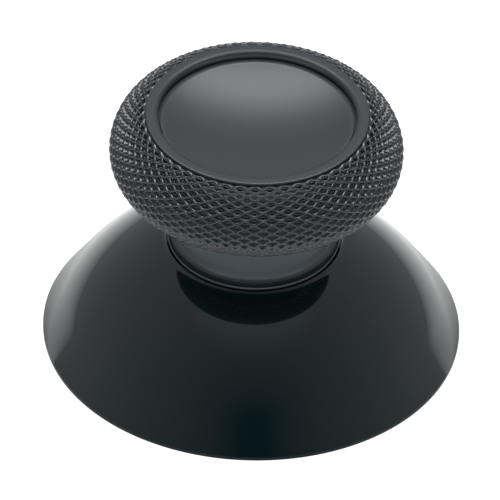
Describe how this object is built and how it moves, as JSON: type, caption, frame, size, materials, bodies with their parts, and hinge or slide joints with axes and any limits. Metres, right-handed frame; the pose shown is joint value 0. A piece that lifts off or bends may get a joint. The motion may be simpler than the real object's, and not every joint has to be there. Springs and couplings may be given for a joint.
{
  "type": "controller thumb grip",
  "caption": "Round analog stick thumb grip with a knurled band and concave thumb dish on a short neck, over a glossy domed skirt with a socket post underneath.",
  "frame": {"origin": "centre of the skirt's foot, on the plane that the foot rests on", "axes": "+Z along the axis of the grip, from the skirt's foot to the thumb dish; the flats of the socket face +Y and -Y"},
  "size_m": [0.024, 0.024, 0.0158],
  "materials": {
    "gloss_dome": "polished black moulding",
    "soft_touch_grip": "matte soft-touch"
  },
  "bodies": {
    "root": {"dome_skirt": "gloss_dome", "grip_head": "soft_touch_grip"}
  },
  "joints": []
}
